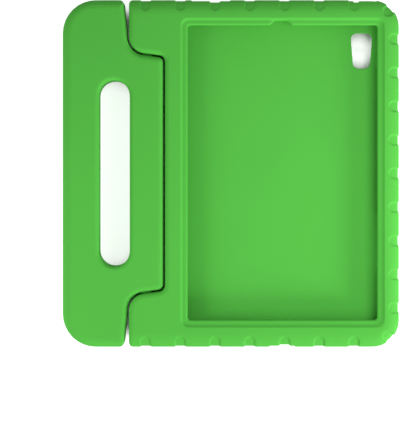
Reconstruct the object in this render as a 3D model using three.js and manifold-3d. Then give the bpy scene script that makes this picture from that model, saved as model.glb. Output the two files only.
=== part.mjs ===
// Kids tablet case: a thick foam shell round a small tablet, with a handle that swings on two pegs.
//
// Millimetres. The case lies on its back with the screen side up. +Y is the end with the camera,
// +X is to the right as the screen is seen, and the origin is under the middle of the whole footprint.

import * as THREE from 'three';
import { mergeVertices } from 'three/addons/utils/BufferGeometryUtils.js';
import Module from 'manifold-3d';

const wasm = await Module();
wasm.setup();

// Tablet and its pocket

const tabletWidth = 134.8;
const tabletLength = 195.4;
const tabletThickness = 6.3;
const pocketClearance = 0.35;
const pocketCornerRadius = 17;

// Walls round the pocket

const sideWall = 4.8;
const neckWall = 5;
const endWall = 9.7;
const backWall = 10.4;
const lipThickness = 4;

// Outer edges of the shell

const cornerRadius = 16.5;
const frontRoundIn = 9;
const frontRoundUp = 6;
const backRoundIn = 12;
const backRoundUp = 10;
const seamFillet = 2.8;
const neckBackRound = 8;

// Window in the front frame

const windowWidth = 117.4;
const windowLength = 182.4;
const windowShift = 0.5;
const windowCornerRadius = 1.8;
const windowFillet = 1.1;
const stepWidth = 4.2;
const stepDepth = 1.2;
const stepSlope = 0.9;
const stepCornerRadius = 4.4;
const sensorNotchBase = 13.9;
const sensorNotchTop = 8;
const sensorNotchHeight = 2.8;
const sensorNotchRadius = 1.4;
const sensorNotchOffset = -0.9;

// Hinge: the ears, the notch between them and the pegs

const hingeToNeck = 12;
const earRadius = 10.3;
const seamGap = 1;
const notchHalfLength = 72.7;
const notchCornerRadius = 4;
const tongueCornerRadius = 3.4;
const tongueTaper = 0.13;
const earCornerRadius = 2.2;
const pegRadius = 4.2;
const pegLength = 7;
const pegTipRound = 1.2;
const pegClearance = 0.3;
const swingDegrees = 110;
const stopClearance = 0.4;

// Handle

const handleReach = 51.7;
const handleCornerRadius = 20.5;
const handleEndRadius = 3.4;
const handleEndLean = 2.4;
const handleLeanStart = 21;
const leanRadius = 40;
const handleFrontDrop = 1.5;
const handleBackRise = 8.6;
const handleFillet = 3;
const handleRimFillet = 5.5;
const slotWidth = 19.2;
const slotLength = 115.4;
const slotFromEdge = 22.7;
const slotFillet = 2.4;

// Grip grooves on the edges and raised grip dots on the back

const grooveWidth = 6.6;
const grooveDepth = 0.6;
const grooveFrontReach = 6.6;
const grooveBackReach = 11.4;
const groovesOnSide = 9;
const groovesOnEnd = 7;
const sidePitch = 20.8;
const endPitch = 21.5;
const dotHeight = 0.6;
const dotRadius = 2.2;
const dotFromEdge = 25.2;
const ridgeLength = 7;
const ridgeWidth = 3.2;
const ridgeFromEdge = 16;
const dotMargin = 3;

// Cut-outs

const lensHole = { fromSide: 22.8, fromTop: 31.3, width: 13.4, length: 21.7, taper: 1.7, radius: 3.4 };
const lensFunnel = { fromSide: 23.5, fromTop: 27.9, width: 19.3, length: 30.7, taper: 2.4, radius: 5.5 };
const powerCut = { fromSide: 13.9, width: 14.5, reach: 7.9 };
const volumeCut = { fromNeck: 16.4, width: 24, reach: 7.9 };
const portCut = { width: 15.5, reach: 9.4 };
const keyCutRadius = 2;
const sideCuts = [
  { fromTop: 19.3, length: 35.5 },
  { fromTop: 140.9, length: 40.3 },
];
const sideCutReach = 9.7;
const sideCutLedge = 2;
const sideCutRadius = 2.6;
const speakerRadius = 1.65;
const speakerPitch = 5.5;
const speakersPerSet = 4;
const speakerSetOffset = 36.6;
const speakerFromEnd = 10.6;

// Facets

const filletSteps = 4;
const frontSteps = 6;
const backSteps = 7;
const fineCorner = 4;
const wideCorner = 8;
const roundFacets = 24;
const dotFacets = 12;
const dotRounds = 2;
const overcut = 1.5;
const arcSlack = 0.01;

// Places that follow from the sizes above

const pocketWidth = tabletWidth + 2 * pocketClearance;
const pocketLength = tabletLength + 2 * pocketClearance;
const pocketDepth = tabletThickness + pocketClearance;
const caseThickness = backWall + pocketDepth + lipThickness;
const halfLength = pocketLength / 2 + endWall;
const overallWidth = handleReach + hingeToNeck + neckWall + pocketWidth + sideWall;

const backZ = dotHeight;
const frontZ = backZ + caseThickness;
const floorZ = backZ + backWall;
const ceilingZ = floorZ + pocketDepth;
const hingeZ = (backZ + frontZ) / 2;

const rightX = overallWidth / 2;
const tabletX = rightX - sideWall - pocketWidth / 2;
const neckX = tabletX - pocketWidth / 2 - neckWall;
const hingeX = neckX - hingeToNeck;
const earX = hingeX - earRadius;
const handleX = hingeX - handleReach;
const tongueX = neckX - seamGap;
const hollowX = earX - seamGap;
const earWallY = notchHalfLength + tongueTaper * hingeToNeck;
const earEndY = earWallY + earRadius;

// Booleans

function solidOf(geometry) {
  const bare = geometry.clone();
  bare.deleteAttribute('normal');
  bare.deleteAttribute('uv');
  const merged = mergeVertices(bare, 1e-5);
  return new wasm.Manifold(new wasm.Mesh({
    numProp: 3,
    vertProperties: new Float32Array(merged.attributes.position.array),
    triVerts: new Uint32Array(merged.index.array),
  }));
}

function geometryOf(solid) {
  const mesh = solid.getMesh();
  const geometry = new THREE.BufferGeometry();
  geometry.setAttribute('position', new THREE.BufferAttribute(new Float32Array(mesh.vertProperties), 3));
  geometry.setIndex(new THREE.BufferAttribute(new Uint32Array(mesh.triVerts), 1));
  geometry.computeVertexNormals();
  return geometry;
}

const joined = (solids) => solids.reduce((whole, solid) => whole.add(solid));

// Outline of a polygon whose corners are {x, y, radius, steps}, walked anticlockwise, with each corner
// rounded by an arc. `grow` moves the outline outwards, so one list of corners gives every section.

function outline(corners, grow = 0) {
  const points = [];
  corners.forEach((corner, index) => {
    const here = new THREE.Vector2(corner.x, corner.y);
    const before = corners.at(index - 1);
    const after = corners[(index + 1) % corners.length];
    const arriving = here.clone().sub(before).normalize();
    const leaving = new THREE.Vector2(after.x, after.y).sub(here).normalize();
    const turn = Math.atan2(arriving.cross(leaving), arriving.dot(leaving));
    const side = Math.sign(turn);
    const tangent = corner.radius * Math.tan(Math.abs(turn) / 2);
    const start = here.clone().addScaledVector(arriving, -tangent);
    const inward = new THREE.Vector2(-arriving.y, arriving.x).multiplyScalar(side);
    const centre = start.addScaledVector(inward, corner.radius);
    for (let step = 0; step <= corner.steps; step += 1) {
      const heading = arriving.clone().rotateAround(new THREE.Vector2(), turn * step / corner.steps);
      const outward = new THREE.Vector2(heading.y, -heading.x);
      points.push(centre.clone().addScaledVector(outward, side * corner.radius + grow));
    }
  });
  return points;
}

function rectangle(x0, x1, y0, y1, radius, steps = fineCorner) {
  return [[x0, y0], [x1, y0], [x1, y1], [x0, y1]].map(([x, y]) => ({ x, y, radius, steps }));
}

// Closed body through sections {points, z}, from the lowest up. z is a height, or a function of x.

function loft(sections) {
  const count = sections[0].points.length;
  const positions = sections.flatMap(({ points, z }) =>
    points.flatMap((point) => [point.x, point.y, typeof z === 'function' ? z(point.x) : z]));
  const index = [];
  for (let level = 0; level + 1 < sections.length; level += 1) {
    for (let i = 0; i < count; i += 1) {
      const a = level * count + i;
      const b = level * count + (i + 1) % count;
      index.push(a, b, b + count, a, b + count, a + count);
    }
  }
  const top = (sections.length - 1) * count;
  for (const [a, b, c] of THREE.ShapeUtils.triangulateShape(sections[0].points, [])) index.push(a, c, b);
  for (const [a, b, c] of THREE.ShapeUtils.triangulateShape(sections.at(-1).points, [])) {
    index.push(top + a, top + b, top + c);
  }
  const geometry = new THREE.BufferGeometry();
  geometry.setAttribute('position', new THREE.Float32BufferAttribute(positions, 3));
  geometry.setIndex(index);
  return solidOf(geometry);
}

const prism = (corners, z0, z1) => loft([z0, z1].map((z) => ({ points: outline(corners), z })));

const block = (x0, x1, y0, y1, z0, z1) => solidOf(new THREE.BoxGeometry(x1 - x0, y1 - y0, z1 - z0)
  .translate((x0 + x1) / 2, (y0 + y1) / 2, (z0 + z1) / 2));

// Extrudes a section drawn in X and Z along Y.

function rail(section, y0, y1) {
  const shape = new THREE.Shape(section.map(([x, z]) => new THREE.Vector2(x, -z)));
  const geometry = new THREE.ExtrudeGeometry(shape, { depth: y1 - y0, bevelEnabled: false });
  return solidOf(geometry.rotateX(-Math.PI / 2).translate(0, y0, 0));
}

const quarter = (steps) => Array.from({ length: steps + 1 }, (_, step) => (Math.PI / 2) * step / steps);

const mirrored = (build) => [1, -1].map(build);

// Shell

function edgeLevels(grow) {
  const levels = quarter(backSteps).reverse().map((angle) => ({
    inset: backRoundIn * (1 - Math.cos(angle)),
    z: backZ + backRoundUp * (1 - Math.sin(angle)) - grow * Math.sin(angle),
  }));
  levels.push(...quarter(frontSteps).map((angle) => ({
    inset: frontRoundIn * (1 - Math.cos(angle)),
    z: frontZ - frontRoundUp * (1 - Math.sin(angle)) + grow * Math.sin(angle),
  })));
  return levels;
}

// The ears end in a half round about the hinge line below it, and in a small fillet above it.

function earInset(z) {
  if (z < hingeZ) return earRadius - Math.sqrt(Math.max(earRadius ** 2 - (hingeZ - z) ** 2, 0));
  const climb = Math.min(Math.max(z - (frontZ - seamFillet), 0), seamFillet);
  return seamFillet - Math.sqrt(seamFillet ** 2 - climb ** 2);
}

function shellBody(grow = 0) {
  return loft(edgeLevels(grow).map(({ inset, z }) => {
    const x0 = earX + earInset(z) - grow;
    const x1 = rightX - inset + grow;
    const y = halfLength - inset + grow;
    const right = { radius: cornerRadius - inset, steps: wideCorner };
    const left = { radius: earCornerRadius, steps: fineCorner };
    return {
      z,
      points: outline([
        { x: x0, y: -y, ...left }, { x: x1, y: -y, ...right },
        { x: x1, y, ...right }, { x: x0, y, ...left },
      ]),
    };
  }));
}

function notchCorners() {
  const beyond = earX - handleReach;
  const reach = earEndY + overcut;
  const rise = notchHalfLength + tongueTaper * (neckX - earX);
  const wide = { radius: earRadius, steps: wideCorner };
  const small = { radius: notchCornerRadius, steps: fineCorner };
  const sharp = { radius: 0, steps: 1 };
  const half = [
    { x: neckX, y: notchHalfLength, ...small }, { x: earX, y: rise, ...wide },
    { x: earX, y: reach, ...sharp }, { x: beyond, y: reach, ...sharp },
  ];
  return [...half, ...half.map((corner) => ({ ...corner, y: -corner.y })).reverse()];
}

function notch() {
  const low = quarter(backSteps).reverse().map((angle) => ({
    points: outline(notchCorners(), neckBackRound * (1 - Math.cos(angle))),
    z: backZ + neckBackRound * (1 - Math.sin(angle)),
  }));
  const high = quarter(filletSteps).map((angle) => ({
    points: outline(notchCorners(), seamFillet * (1 - Math.cos(angle))),
    z: frontZ - seamFillet * (1 - Math.sin(angle)),
  }));
  const below = { points: low[0].points, z: backZ - overcut };
  const above = { points: high.at(-1).points, z: frontZ + overcut };
  return loft([below, ...low, ...high, above]);
}

// Behind the hinge line the inner end of each ear is a dome about that line, so the handle clears it.

function domeCut(side) {
  const outer = earRadius + overcut;
  const dome = quarter(backSteps).reverse().map((angle) =>
    new THREE.Vector2(earRadius * Math.sin(angle), earWallY + earRadius * (1 - Math.cos(angle))));
  const profile = [
    new THREE.Vector2(0, earWallY - overcut), new THREE.Vector2(outer, earWallY - overcut),
    new THREE.Vector2(outer, earEndY), ...dome,
  ];
  const cutter = solidOf(new THREE.LatheGeometry(profile, roundFacets).translate(hingeX, 0, hingeZ));
  const sweptTo = earRadius * Math.cos(THREE.MathUtils.degToRad(swingDegrees + 180));
  const kept = cutter.intersect(block(
    hingeX - 2 * earRadius, hingeX + sweptTo + seamGap, 0, halfLength, backZ - overcut, hingeZ,
  ));
  return side > 0 ? kept : kept.mirror([0, 1, 0]);
}

function socket(side) {
  const radius = pegRadius + pegClearance;
  const start = notchHalfLength - overcut;
  const end = earWallY + pegLength;
  const hole = new THREE.CylinderGeometry(radius, radius, end - start, roundFacets);
  return solidOf(hole.translate(hingeX, side * (start + end) / 2, hingeZ));
}

function pocket() {
  const [x0, x1] = [tabletX - pocketWidth / 2, tabletX + pocketWidth / 2];
  return prism(
    rectangle(x0, x1, -pocketLength / 2, pocketLength / 2, pocketCornerRadius, wideCorner),
    floorZ, ceilingZ,
  );
}

function windowCut() {
  const frame = (grow, radius) => rectangle(
    tabletX - windowWidth / 2 - grow, tabletX + windowWidth / 2 + grow,
    windowShift - windowLength / 2 - grow, windowShift + windowLength / 2 + grow, radius,
  );
  const stepZ = frontZ - stepDepth;
  const opening = loft([
    { points: outline(frame(0, windowCornerRadius)), z: ceilingZ - overcut },
    ...quarter(filletSteps).map((angle) => ({
      points: outline(frame(0, windowCornerRadius), windowFillet * (1 - Math.cos(angle))),
      z: stepZ - windowFillet * (1 - Math.sin(angle)),
    })),
    { points: outline(frame(0, windowCornerRadius), windowFillet), z: frontZ },
  ]);
  const step = loft([
    { points: outline(frame(stepWidth - stepSlope, stepCornerRadius)), z: stepZ },
    { points: outline(frame(stepWidth, stepCornerRadius)), z: frontZ },
    { points: outline(frame(stepWidth, stepCornerRadius)), z: frontZ + overcut },
  ]);
  const [base, top] = [sensorNotchBase / 2, sensorNotchTop / 2];
  const y0 = windowShift + windowLength / 2;
  const y1 = y0 + sensorNotchHeight;
  const sensorX = tabletX + sensorNotchOffset;
  const blunt = { radius: sensorNotchRadius, steps: fineCorner };
  const sensor = [
    { x: sensorX - base, y: y0 - sensorNotchHeight, ...blunt },
    { x: sensorX + base, y: y0 - sensorNotchHeight, ...blunt },
    { x: sensorX + base, y: y0, ...blunt }, { x: sensorX + top, y: y1, ...blunt },
    { x: sensorX - top, y: y1, ...blunt }, { x: sensorX - base, y: y0, ...blunt },
  ];
  const sensorCut = loft([
    { points: outline(sensor), z: ceilingZ - overcut },
    ...quarter(filletSteps).map((angle) => ({
      points: outline(sensor, windowFillet * (1 - Math.cos(angle))),
      z: stepZ - windowFillet * (1 - Math.sin(angle)),
    })),
    { points: outline(sensor, windowFillet), z: frontZ },
  ]);
  return joined([opening, step, sensorCut]);
}

// A tapered, round-cornered opening, wider at the camera end. Its place is measured from the top corner.

function lensOutline({ fromSide, fromTop, width, length, taper, radius }) {
  const x = rightX - fromSide;
  const y = halfLength - fromTop;
  const corner = { radius, steps: fineCorner };
  return outline([
    { x: x - width / 2 + taper, y: y - length / 2, ...corner },
    { x: x + width / 2 - taper, y: y - length / 2, ...corner },
    { x: x + width / 2, y: y + length / 2, ...corner },
    { x: x - width / 2, y: y + length / 2, ...corner },
  ]);
}

function lensCut() {
  const wide = lensOutline(lensFunnel);
  const narrow = lensOutline(lensHole);
  return loft([
    { points: wide, z: backZ - overcut }, { points: wide, z: backZ },
    { points: narrow, z: floorZ }, { points: narrow, z: floorZ + overcut },
  ]);
}

// Cut through an end wall for a button or a plug: open at the back, and it meets the pocket inside.

function endCut(x, width, reach, side) {
  const outer = halfLength + keyCutRadius + overcut;
  const section = (inner) => {
    const [y0, y1] = side > 0 ? [inner, outer] : [-outer, -inner];
    return outline(rectangle(x - width / 2, x + width / 2, y0, y1, keyCutRadius));
  };
  const shallow = section(halfLength - reach);
  const deep = section(pocketLength / 2 - overcut);
  return loft([
    { points: shallow, z: backZ - overcut }, { points: shallow, z: backZ },
    { points: deep, z: floorZ }, { points: deep, z: ceilingZ },
  ]);
}

function sideCut({ fromTop, length }) {
  const y1 = halfLength - fromTop;
  const outer = rightX + sideCutRadius + overcut;
  const corners = rectangle(rightX - sideCutReach, outer, y1 - length, y1, sideCutRadius);
  return prism(corners, backZ - overcut, ceilingZ - sideCutLedge);
}

function speakerHoles() {
  const holes = [];
  for (const side of [-1, 1]) {
    for (let i = 0; i < speakersPerSet; i += 1) {
      const x = tabletX + side * speakerSetOffset + (i - (speakersPerSet - 1) / 2) * speakerPitch;
      const height = backWall + 2 * overcut;
      const hole = new THREE.CylinderGeometry(speakerRadius, speakerRadius, height, roundFacets / 2);
      hole.rotateX(Math.PI / 2).translate(x, speakerFromEnd - halfLength, backZ + backWall / 2);
      holes.push(solidOf(hole));
    }
  }
  return joined(holes);
}

// One groove lies across the outer edge, open outwards, with a round inner end. It is drawn for an edge
// along X at y = 0 with the case below it, then turned and moved to its place.

function groove(x, y, turn) {
  const bar = (reach) => outline([
    { x: -grooveWidth / 2, y: -reach, radius: grooveWidth / 2 - arcSlack, steps: wideCorner / 2 },
    { x: grooveWidth / 2, y: -reach, radius: grooveWidth / 2 - arcSlack, steps: wideCorner / 2 },
    { x: grooveWidth / 2, y: grooveWidth, radius: 0, steps: 1 },
    { x: -grooveWidth / 2, y: grooveWidth, radius: 0, steps: 1 },
  ]);
  const solid = loft([
    { points: bar(grooveBackReach), z: backZ - overcut },
    { points: bar(grooveFrontReach), z: frontZ + overcut },
  ]);
  return solid.rotate([0, 0, turn]).translate([x, y, 0]);
}

const spread = (count, pitch) => Array.from({ length: count }, (_, i) => (i - (count - 1) / 2) * pitch);
const endGrooveX = (i) => hingeX + i * endPitch;

function grooves() {
  const bars = spread(groovesOnSide, sidePitch).map((y) => groove(rightX, y, -90));
  for (let i = 0; i < groovesOnEnd; i += 1) {
    bars.push(groove(endGrooveX(i), halfLength, 0), groove(endGrooveX(i), -halfLength, 180));
  }
  const inset = cornerRadius * (1 - Math.SQRT1_2);
  for (const side of [1, -1]) {
    bars.push(groove(rightX - inset, side * (halfLength - inset), side > 0 ? -45 : -135));
  }
  return joined(bars).subtract(shellBody(-grooveDepth));
}

// Raised dots in line with the grooves, and ridges between them nearer to the edge.

function gripDots() {
  const marks = [];
  const clear = ({ x, y }) => Math.abs(x - (rightX - lensFunnel.fromSide)) > lensFunnel.width / 2 + dotMargin
    || Math.abs(y - (halfLength - lensFunnel.fromTop)) > lensFunnel.length / 2 + dotMargin;
  const dot = (x, y) => marks.push({ x, y, radius: dotRadius, straight: 0, turn: 0 });
  const ridge = (x, y, turn) => marks.push({
    x, y, radius: ridgeWidth / 2, straight: ridgeLength - ridgeWidth, turn,
  });
  const lastX = endGrooveX(groovesOnEnd - 1);
  for (const side of [1, -1]) {
    for (let i = 1; i < groovesOnEnd; i += 1) dot(endGrooveX(i), side * (halfLength - dotFromEdge));
    for (let i = 0; i + 1 < groovesOnEnd; i += 1) {
      ridge(endGrooveX(i + 0.5), side * (halfLength - ridgeFromEdge), 0);
    }
    ridge(rightX - ridgeFromEdge, side * (halfLength - ridgeFromEdge), side > 0 ? -45 : 45);
  }
  for (const y of spread(groovesOnSide - 2, sidePitch)) dot(lastX, y);
  for (const y of spread(groovesOnSide - 1, sidePitch)) ridge(rightX - ridgeFromEdge, y, 90);
  return joined(marks.filter(clear).map(({ x, y, radius, straight, turn }) =>
    solidOf(new THREE.CapsuleGeometry(radius, straight, dotRounds, dotFacets))
      .scale([1, 1, dotHeight / radius]).rotate([0, 0, turn]).translate([x, y, backZ])));
}

function shell() {
  const cuts = [
    notch(), ...mirrored(domeCut), ...mirrored(socket), pocket(), windowCut(), lensCut(),
    endCut(rightX - powerCut.fromSide - powerCut.width / 2, powerCut.width, powerCut.reach, 1),
    endCut(neckX + volumeCut.fromNeck + volumeCut.width / 2, volumeCut.width, volumeCut.reach, 1),
    endCut(tabletX, portCut.width, portCut.reach, -1),
    ...sideCuts.map(sideCut), speakerHoles(), grooves(),
  ];
  return shellBody().add(gripDots()).subtract(joined(cuts));
}

// Handle

// Its two faces close in on each other from the tongue to the outer edge. `share` runs from -1 at the back
// to 1 at the front.

function handleZ(share) {
  return (x) => {
    const out = (tongueX - x) / (tongueX - handleX);
    const half = caseThickness / 2;
    return hingeZ + share * (half - out * (share > 0 ? handleFrontDrop : handleBackRise));
  };
}

function handleCorners() {
  const tip = notchHalfLength - seamGap;
  const rise = tip + tongueTaper * (neckX - earX);
  const leanY = halfLength - handleLeanStart;
  const half = [
    { x: tongueX, y: tip, radius: tongueCornerRadius, steps: fineCorner },
    { x: hollowX, y: rise, radius: earRadius + seamGap, steps: wideCorner },
    { x: hollowX, y: leanY, radius: leanRadius, steps: 2 },
    { x: hollowX - handleEndLean, y: halfLength, radius: handleEndRadius, steps: fineCorner },
    { x: handleX, y: halfLength, radius: handleCornerRadius, steps: wideCorner },
  ];
  return [...half, ...half.map((corner) => ({ ...corner, y: -corner.y })).reverse()];
}

// Rounded levels from back to front for a piece that tapers with the handle. A positive `flare` opens the
// edges outwards, as a cut needs; a negative one draws them in, as a body needs.

function handleLevels(corners, flare) {
  const half = caseThickness / 2;
  const bend = Math.abs(flare);
  const arc = quarter(filletSteps).map((angle) => ({
    share: (half - bend * (1 - Math.sin(angle))) / half,
    grow: flare * (1 - Math.cos(angle)),
  }));
  const back = arc.map(({ share, grow }) => ({ share: -share, grow })).reverse();
  return [...back, ...arc].map(({ share, grow }) => ({ points: outline(corners, grow), z: handleZ(share) }));
}

function slot() {
  const x = handleX + slotFromEdge + slotWidth / 2;
  const corners = rectangle(
    x - slotWidth / 2, x + slotWidth / 2, -slotLength / 2, slotLength / 2,
    slotWidth / 2 - arcSlack, wideCorner,
  );
  const levels = handleLevels(corners, slotFillet);
  const past = (share) => ({ points: outline(corners, slotFillet), z: handleZ(share) });
  const beyond = 1 + overcut / caseThickness;
  return loft([past(-beyond), ...levels, past(beyond)]);
}

// The tongue's back is turned about the hinge line from the same outline as its front, so that it swings
// clear of the neck and of the notch's corners.

function tongueRelief() {
  const reach = hingeToNeck - seamGap;
  const far = reach + overcut;
  const tip = notchHalfLength - seamGap;
  const root = tip + tongueTaper * reach;
  const half = [
    { x: reach, y: tip, radius: tongueCornerRadius, steps: fineCorner },
    { x: 0, y: root, radius: 0, steps: 1 },
  ];
  const corners = [...half, ...half.map((corner) => ({ ...corner, y: -corner.y })).reverse()];
  const profile = outline(corners).filter(({ x }) => x > arcSlack);
  profile.sort((a, b) => a.y - b.y);
  const closed = [new THREE.Vector2(0, -root), ...profile, new THREE.Vector2(0, root)];
  const turned = solidOf(new THREE.LatheGeometry(closed, 2 * roundFacets).translate(hingeX, 0, hingeZ));
  return block(hingeX, hingeX + far, -halfLength, halfLength, hingeZ - far, hingeZ).subtract(turned);
}

// Beside the ears the handle's back is cut on the plane that meets the shell's back when it is fully swung.
// The cut starts where the ear's wall is nearest to what turns past it.

function stopFace(side) {
  const swing = THREE.MathUtils.degToRad(swingDegrees);
  const distance = caseThickness / 2 + dotHeight + stopClearance;
  const xAt = (z) => -(distance + z * Math.cos(swing)) / Math.sin(swing);
  const startX = hollowX - hingeX;
  const startZ = -(distance + startX * Math.sin(swing)) / Math.cos(swing);
  const low = -caseThickness / 2 - overcut;
  const section = [
    [hingeX + startX, hingeZ + startZ], [hingeX + xAt(low), hingeZ + low],
    [neckX, hingeZ + low], [neckX, hingeZ + startZ],
  ];
  const start = earWallY - seamGap - tongueTaper * earRadius;
  const [y0, y1] = side > 0 ? [start, halfLength + overcut] : [-halfLength - overcut, -start];
  return rail(section, y0, y1);
}

function peg(side) {
  const start = notchHalfLength - 2 * seamGap - pegTipRound;
  const end = earWallY - seamGap + pegLength;
  const tip = quarter(filletSteps).map((angle) => new THREE.Vector2(
    pegRadius - pegTipRound * (1 - Math.cos(angle)), end - pegTipRound * (1 - Math.sin(angle)),
  ));
  const profile = [
    new THREE.Vector2(0, start), new THREE.Vector2(pegRadius, start), ...tip, new THREE.Vector2(0, end),
  ];
  const solid = solidOf(new THREE.LatheGeometry(profile, roundFacets).translate(hingeX, 0, hingeZ));
  return side > 0 ? solid : solid.mirror([0, 1, 0]);
}

// The outer rim is rounded more than the seam is: this body runs past the seam, and only its rim counts.

function rimBody() {
  const corners = rectangle(
    handleX, neckX + handleCornerRadius, -halfLength, halfLength, handleCornerRadius, wideCorner,
  );
  return loft(handleLevels(corners, -handleRimFillet));
}

function handle() {
  const cuts = [slot(), tongueRelief(), ...mirrored(stopFace)];
  return loft(handleLevels(handleCorners(), -handleFillet)).intersect(rimBody()).subtract(joined(cuts))
    .add(joined(mirrored(peg)));
}

// Scene

const foam = () => new THREE.MeshStandardMaterial({ color: 0x57bb47, roughness: 0.62, metalness: 0 });

function piece(name, solid) {
  const mesh = new THREE.Mesh(geometryOf(solid), foam());
  mesh.name = name;
  return mesh;
}

const tabletCase = new THREE.Group();
tabletCase.add(piece('case_shell', shell()));
tabletCase.add(piece('carry_handle', handle()));

export default tabletCase;
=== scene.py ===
import bpy
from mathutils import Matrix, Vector


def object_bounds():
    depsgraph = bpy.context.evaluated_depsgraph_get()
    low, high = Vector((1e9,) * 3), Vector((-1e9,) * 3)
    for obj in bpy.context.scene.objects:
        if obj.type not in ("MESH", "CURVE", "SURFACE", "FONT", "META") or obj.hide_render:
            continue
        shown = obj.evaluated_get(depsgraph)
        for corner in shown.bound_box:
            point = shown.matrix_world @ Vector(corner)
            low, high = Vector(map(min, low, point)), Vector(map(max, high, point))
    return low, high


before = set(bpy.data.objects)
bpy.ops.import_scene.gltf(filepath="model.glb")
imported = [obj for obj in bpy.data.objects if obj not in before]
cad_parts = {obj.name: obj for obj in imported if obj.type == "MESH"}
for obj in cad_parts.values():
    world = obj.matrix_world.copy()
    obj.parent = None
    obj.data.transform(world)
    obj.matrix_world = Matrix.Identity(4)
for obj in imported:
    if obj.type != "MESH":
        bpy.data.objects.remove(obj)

cad_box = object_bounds()

MM = 0.001

# The photograph's frame, and where the case lies in it

PHOTO_WIDTH, PHOTO_HEIGHT = 400, 446
CASE_CENTRE_PX = (230.8, 173.5)
FACE_SCALE = 0.617 * MM
CAMERA_DISTANCE = 0.8
SENSOR = 36.0

# Foam surface

FOAM_GREEN = (0.087, 0.477, 0.056)
FOAM_SHADE = (0.079, 0.453, 0.050)
FOAM_ROUGHNESS = 0.75
FOAM_SPECULAR = 0.15
CLOUD_SCALE, CLOUD_DETAIL = 26.0, 3.0
PORE_SCALE, PORE_DETAIL = 1500.0, 2.0
PORE_DEPTH, PORE_STRENGTH = 0.25 * MM, 0.12

# Rounding of the moulded edges

WELD = 0.01 * MM
VOXEL = 0.45 * MM
SOFTEN_FACTOR = 0.5
SOFTEN_ROUNDS = 3
PINHOLE = 0.05 * MM
KEPT_FACES = 0.19

# Studio

SKY_LIGHT = 0.38
SKY_SEEN = 1.0
LAMP_SIZE = 0.20
LAMPS = (
    ("key", (0.59, -0.49, 0.22), 4.90),
    ("top_fill", (0.17, 0.0, 0.25), 0.40),
    ("left_fill", (-0.36, -0.16, 0.22), 0.79),
)
FLOOR_SIZE = 6.0
WHITE = (1, 1, 1, 1)
PAPER = (0.8, 0.8, 0.8, 1)
# Strength of the painted glow that lifts the paper to white where it is seen directly
PAPER_PAINTED_GLOW = 0.75
CREVICE_REACH = 16 * MM
CREVICE_SHUT = 0.25
CREVICE_OPEN = 0.4


def weld(part, name, reach):
    """Merges the corners of a mesh that lie closer together than the reach."""
    merge = part.modifiers.new(name, "WELD")
    merge.merge_threshold = reach


def soften(part):
    """Rounds off every edge of a moulding by about half a millimetre, as foam comes out of a mould."""
    weld(part, "weld", WELD)
    remesh = part.modifiers.new("skin", "REMESH")
    remesh.mode = "VOXEL"
    remesh.voxel_size = VOXEL
    remesh.use_smooth_shade = True
    smooth = part.modifiers.new("soft_edges", "SMOOTH")
    smooth.factor = SOFTEN_FACTOR
    smooth.iterations = SOFTEN_ROUNDS
    weld(part, "close_pinholes", PINHOLE)
    thin = part.modifiers.new("thin_out", "DECIMATE")
    thin.ratio = KEPT_FACES


def fill(made, **values):
    """Sets the inputs of a shader node. An underscore in a name stands for a space."""
    for name, value in values.items():
        made.inputs[name.replace("_", " ")].default_value = value
    return made


def node(tree, kind, **values):
    return fill(tree.nodes.new(kind), **values)


def new_material(name):
    """Makes a material with nodes, and also returns its node tree and its shader."""
    material = bpy.data.materials.new(name)
    material.use_nodes = True
    tree = material.node_tree
    return material, tree, tree.nodes["Principled BSDF"]


def foam():
    """Matt closed-cell foam: a moulded skin with fine pores and faint cloudy shade."""
    material, tree, shader = new_material("foam")
    fill(shader, Roughness=FOAM_ROUGHNESS, Specular_IOR_Level=FOAM_SPECULAR)
    place = node(tree, "ShaderNodeTexCoord")
    clouds = node(tree, "ShaderNodeTexNoise", Scale=CLOUD_SCALE, Detail=CLOUD_DETAIL)
    tint = node(tree, "ShaderNodeMix")
    tint.data_type = "RGBA"
    fill(tint, A=(*FOAM_SHADE, 1), B=(*FOAM_GREEN, 1))
    pores = node(tree, "ShaderNodeTexNoise", Scale=PORE_SCALE, Detail=PORE_DETAIL)
    skin = node(tree, "ShaderNodeBump", Strength=PORE_STRENGTH, Distance=PORE_DEPTH)
    link = tree.links.new
    link(place.outputs["Object"], clouds.inputs["Vector"])
    link(place.outputs["Object"], pores.inputs["Vector"])
    link(clouds.outputs["Fac"], tint.inputs["Factor"])
    link(tint.outputs["Result"], shader.inputs["Base Color"])
    link(pores.outputs["Fac"], skin.inputs["Height"])
    link(skin.outputs["Normal"], shader.inputs["Normal"])
    return material


def dress(part, material):
    """Gives a part one material all over."""
    part.data.materials.clear()
    part.data.materials.append(material)


def area_light(name, place, power):
    """A round soft box that points at the case and isn't seen itself."""
    data = bpy.data.lights.new(name, "AREA")
    data.shape = "DISK"
    data.size = LAMP_SIZE
    data.energy = power
    lamp = bpy.data.objects.new(name, data)
    lamp.location = place
    lamp.rotation_euler = (-Vector(place)).to_track_quat("-Z", "Y").to_euler()
    lamp.visible_camera = False
    bpy.context.scene.collection.objects.link(lamp)


def seen_directly(tree):
    """1 for camera, glossy and transmission rays, 0 for the rays that carry light onto the case."""
    rays = node(tree, "ShaderNodeLightPath")
    seen = rays.outputs["Is Camera Ray"]
    for kind in ("Is Glossy Ray", "Is Transmission Ray"):
        either = node(tree, "ShaderNodeMath")
        either.operation = "MAXIMUM"
        tree.links.new(seen, either.inputs[0])
        tree.links.new(rays.outputs[kind], either.inputs[1])
        seen = either.outputs[0]
    return seen


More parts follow.
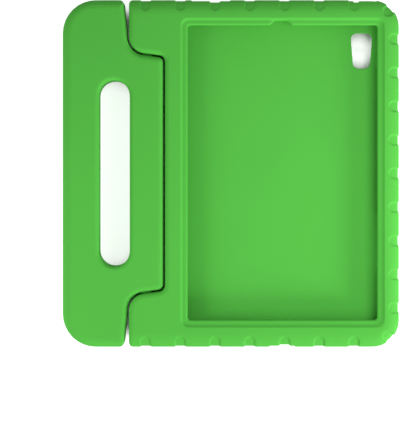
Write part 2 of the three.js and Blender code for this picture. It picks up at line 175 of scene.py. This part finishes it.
def sky():
    """Soft light from all sides, which looks plain white where it is seen directly."""
    world = bpy.data.worlds.new("studio")
    bpy.context.scene.world = world
    world.use_nodes = True
    tree = world.node_tree
    background = fill(tree.nodes["Background"], Color=WHITE)
    level = node(tree, "ShaderNodeMapRange", To_Min=SKY_LIGHT, To_Max=SKY_SEEN)
    tree.links.new(seen_directly(tree), level.inputs["Value"])
    tree.links.new(level.outputs["Result"], background.inputs["Strength"])


def paper():
    """White paper with a painted glow that lifts it to white where it is seen directly, but not down in a
    crevice.
    """
    material, tree, shader = new_material("paper")
    fill(shader, Base_Color=PAPER, Roughness=1.0, Specular_IOR_Level=0.0, Emission_Color=WHITE)
    openness = node(tree, "ShaderNodeAmbientOcclusion", Distance=CREVICE_REACH)
    # Painted glow on the paper, faded out where ambient occlusion finds a crevice, so the paper keeps its
    # shade there
    painted_glow = node(tree, "ShaderNodeMapRange", From_Min=CREVICE_SHUT, From_Max=CREVICE_OPEN, To_Max=PAPER_PAINTED_GLOW)
    seen = node(tree, "ShaderNodeMath")
    seen.operation = "MULTIPLY"
    link = tree.links.new
    link(openness.outputs["AO"], painted_glow.inputs["Value"])
    link(painted_glow.outputs["Result"], seen.inputs[0])
    link(seen_directly(tree), seen.inputs[1])
    link(seen.outputs[0], shader.inputs["Emission Strength"])
    return material


def floor():
    """A wide sheet of paper under the case."""
    bpy.ops.mesh.primitive_plane_add(size=FLOOR_SIZE)
    sheet = bpy.context.object
    sheet.name = "floor"
    dress(sheet, paper())


def camera():
    """Looks straight down on the case, with the lens shifted to put it where the photograph has it."""
    front = cad_box[1][2]
    data = bpy.data.cameras.new("camera")
    data.sensor_fit = "VERTICAL"
    data.sensor_height = SENSOR
    data.lens = SENSOR * CAMERA_DISTANCE / FACE_SCALE / PHOTO_HEIGHT
    data.shift_x = (PHOTO_WIDTH / 2 - CASE_CENTRE_PX[0]) / PHOTO_HEIGHT
    data.shift_y = (CASE_CENTRE_PX[1] - PHOTO_HEIGHT / 2) / PHOTO_HEIGHT
    eye = bpy.data.objects.new("camera", data)
    eye.location = (0, 0, front + CAMERA_DISTANCE)
    bpy.context.scene.collection.objects.link(eye)
    bpy.context.scene.camera = eye


camera()
sky()
floor()
for lamp in LAMPS:
    area_light(*lamp)

green_foam = foam()
for name in ("case_shell", "carry_handle"):
    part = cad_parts[name]
    soften(part)
    dress(part, green_foam)

bpy.context.scene.view_settings.view_transform = "Standard"
